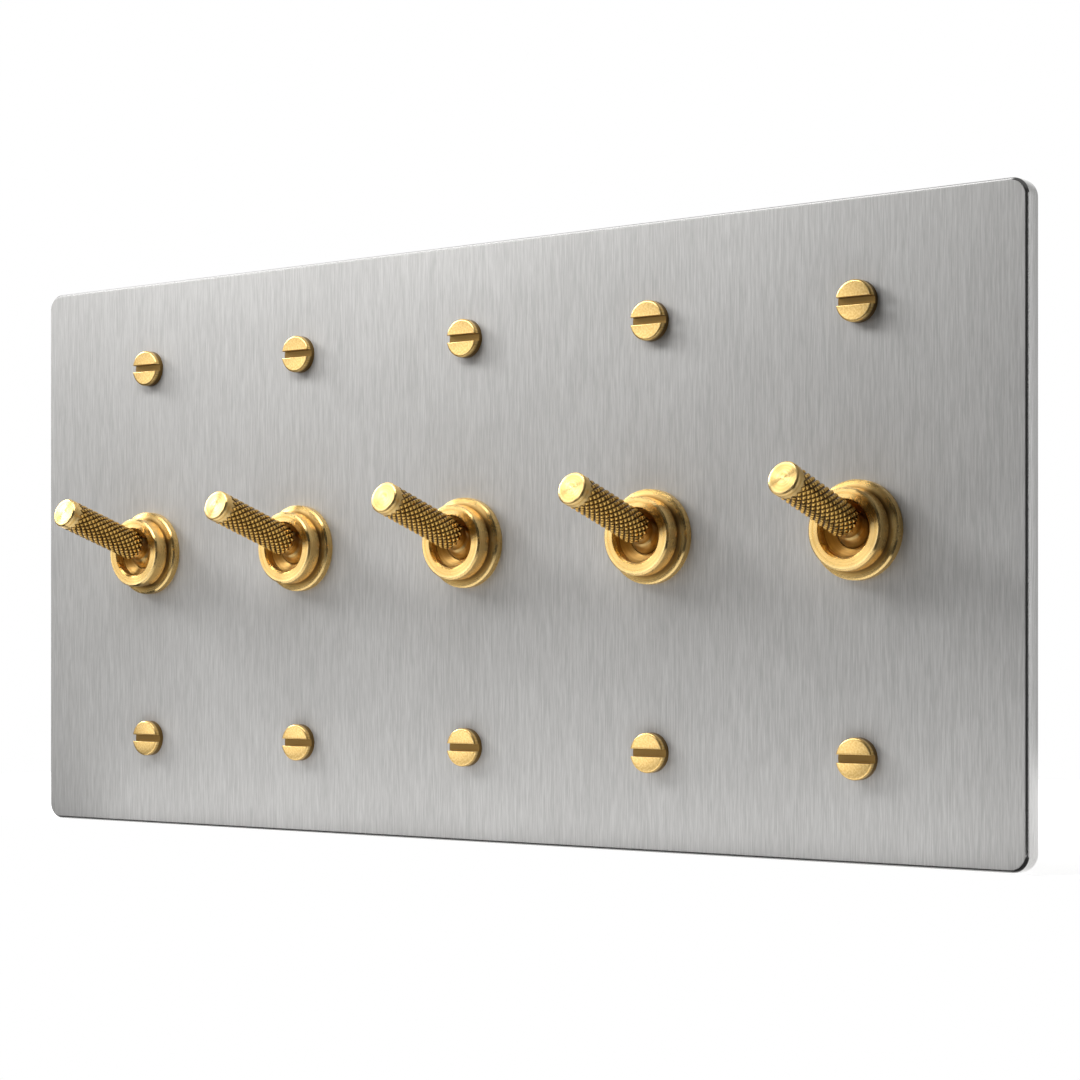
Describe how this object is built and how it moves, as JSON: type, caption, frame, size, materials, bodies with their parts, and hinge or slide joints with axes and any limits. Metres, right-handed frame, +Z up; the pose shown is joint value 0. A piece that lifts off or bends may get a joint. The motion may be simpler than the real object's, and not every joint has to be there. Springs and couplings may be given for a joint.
{
  "type": "toggle light switch",
  "caption": "Multi-gang toggle light switch: brushed steel wall plate, knurled brass levers in stepped turned bezels, slotted brass screws and snap switch bodies behind the plate.",
  "frame": {"origin": "centre of the face plate's back face, the face that meets the wall", "axes": "+X along the plate to its right, +Y into the wall, +Z up; the levers point to -Y"},
  "size_m": [0.252, 0.0541, 0.122],
  "materials": {
    "plate_steel": "fine upright brushing",
    "toggle_brass": "polished, knurled grip",
    "bezel_brass": "turned and polished",
    "screw_brass": "satin",
    "hardware_steel": "zinc plated",
    "frame_steel": "plated sheet",
    "base_plastic": "moulded",
    "plunger_plastic": "moulded",
    "contact_brass": "stamped strip"
  },
  "bodies": {
    "plate_body": {"face_plate": "plate_steel", "plate_screws": "screw_brass", "pivot_pins": "hardware_steel", "lock_washers": "hardware_steel", "lock_nuts": "hardware_steel", "terminal_screws": "contact_brass", "bezel_1": "bezel_brass", "bushing_1": "bezel_brass", "frame_cover_1": "frame_steel", "switch_base_1": "base_plastic", "common_terminal_1": "contact_brass", "throw_terminals_1": "contact_brass", "bezel_2": "bezel_brass", "bushing_2": "bezel_brass", "frame_cover_2": "frame_steel", "switch_base_2": "base_plastic", "common_terminal_2": "contact_brass", "throw_terminals_2": "contact_brass", "bezel_3": "bezel_brass", "bushing_3": "bezel_brass", "frame_cover_3": "frame_steel", "switch_base_3": "base_plastic", "common_terminal_3": "contact_brass", "throw_terminals_3": "contact_brass", "bezel_4": "bezel_brass", "bushing_4": "bezel_brass", "frame_cover_4": "frame_steel", "switch_base_4": "base_plastic", "common_terminal_4": "contact_brass", "throw_terminals_4": "contact_brass", "bezel_5": "bezel_brass", "bushing_5": "bezel_brass", "frame_cover_5": "frame_steel", "switch_base_5": "base_plastic", "common_terminal_5": "contact_brass", "throw_terminals_5": "contact_brass"},
    "lever_body_1": {"lever_1": "toggle_brass", "spring_1": "hardware_steel"},
    "plunger_body_1": {"plunger_1": "plunger_plastic"},
    "rocker_body_1": {"rocker_1": "contact_brass"},
    "lever_body_2": {"lever_2": "toggle_brass", "spring_2": "hardware_steel"},
    "plunger_body_2": {"plunger_2": "plunger_plastic"},
    "rocker_body_2": {"rocker_2": "contact_brass"},
    "lever_body_3": {"lever_3": "toggle_brass", "spring_3": "hardware_steel"},
    "plunger_body_3": {"plunger_3": "plunger_plastic"},
    "rocker_body_3": {"rocker_3": "contact_brass"},
    "lever_body_4": {"lever_4": "toggle_brass", "spring_4": "hardware_steel"},
    "plunger_body_4": {"plunger_4": "plunger_plastic"},
    "rocker_body_4": {"rocker_4": "contact_brass"},
    "lever_body_5": {"lever_5": "toggle_brass", "spring_5": "hardware_steel"},
    "plunger_body_5": {"plunger_5": "plunger_plastic"},
    "rocker_body_5": {"rocker_5": "contact_brass"}
  },
  "joints": [
    {"name": "toggle_1", "type": "hinge", "parent": "plate_body", "child": "lever_body_1", "pos_m": [-0.09208, -0.0048, 0], "axis": [1, 0, 0], "range_deg": [0, 36]},
    {"name": "rocker_tilt_1", "type": "hinge", "parent": "plate_body", "child": "rocker_body_1", "pos_m": [-0.09208, 0.0117, 0], "axis": [1, 0, 0], "range_deg": [-18, 0]},
    {"name": "plunger_slide_1", "type": "slide", "parent": "lever_body_1", "child": "plunger_body_1", "axis": [0, -0.9511, 0.309], "range_m": [0, 0.0006], "stiffness_N_per_m": 200, "springref_m": -0.0015, "deforming": ["spring_1"]},
    {"name": "toggle_2", "type": "hinge", "parent": "plate_body", "child": "lever_body_2", "pos_m": [-0.04604, -0.0048, 0], "axis": [1, 0, 0], "range_deg": [0, 36]},
    {"name": "rocker_tilt_2", "type": "hinge", "parent": "plate_body", "child": "rocker_body_2", "pos_m": [-0.04604, 0.0117, 0], "axis": [1, 0, 0], "range_deg": [-18, 0]},
    {"name": "plunger_slide_2", "type": "slide", "parent": "lever_body_2", "child": "plunger_body_2", "axis": [0, -0.9511, 0.309], "range_m": [0, 0.0006], "stiffness_N_per_m": 200, "springref_m": -0.0015, "deforming": ["spring_2"]},
    {"name": "toggle_3", "type": "hinge", "parent": "plate_body", "child": "lever_body_3", "pos_m": [0, -0.0048, 0], "axis": [1, 0, 0], "range_deg": [0, 36]},
    {"name": "rocker_tilt_3", "type": "hinge", "parent": "plate_body", "child": "rocker_body_3", "pos_m": [0, 0.0117, 0], "axis": [1, 0, 0], "range_deg": [-18, 0]},
    {"name": "plunger_slide_3", "type": "slide", "parent": "lever_body_3", "child": "plunger_body_3", "axis": [0, -0.9511, 0.309], "range_m": [0, 0.0006], "stiffness_N_per_m": 200, "springref_m": -0.0015, "deforming": ["spring_3"]},
    {"name": "toggle_4", "type": "hinge", "parent": "plate_body", "child": "lever_body_4", "pos_m": [0.04604, -0.0048, 0], "axis": [1, 0, 0], "range_deg": [0, 36]},
    {"name": "rocker_tilt_4", "type": "hinge", "parent": "plate_body", "child": "rocker_body_4", "pos_m": [0.04604, 0.0117, 0], "axis": [1, 0, 0], "range_deg": [-18, 0]},
    {"name": "plunger_slide_4", "type": "slide", "parent": "lever_body_4", "child": "plunger_body_4", "axis": [0, -0.9511, 0.309], "range_m": [0, 0.0006], "stiffness_N_per_m": 200, "springref_m": -0.0015, "deforming": ["spring_4"]},
    {"name": "toggle_5", "type": "hinge", "parent": "plate_body", "child": "lever_body_5", "pos_m": [0.09208, -0.0048, 0], "axis": [1, 0, 0], "range_deg": [0, 36]},
    {"name": "rocker_tilt_5", "type": "hinge", "parent": "plate_body", "child": "rocker_body_5", "pos_m": [0.09208, 0.0117, 0], "axis": [1, 0, 0], "range_deg": [-18, 0]},
    {"name": "plunger_slide_5", "type": "slide", "parent": "lever_body_5", "child": "plunger_body_5", "axis": [0, -0.9511, 0.309], "range_m": [0, 0.0006], "stiffness_N_per_m": 200, "springref_m": -0.0015, "deforming": ["spring_5"]}
  ],
  "couplings": [
    {"joint": "rocker_tilt_1", "follows": "toggle_1", "ratio": -0.5},
    {"joint": "rocker_tilt_2", "follows": "toggle_2", "ratio": -0.5},
    {"joint": "rocker_tilt_3", "follows": "toggle_3", "ratio": -0.5},
    {"joint": "rocker_tilt_4", "follows": "toggle_4", "ratio": -0.5},
    {"joint": "rocker_tilt_5", "follows": "toggle_5", "ratio": -0.5}
  ]
}
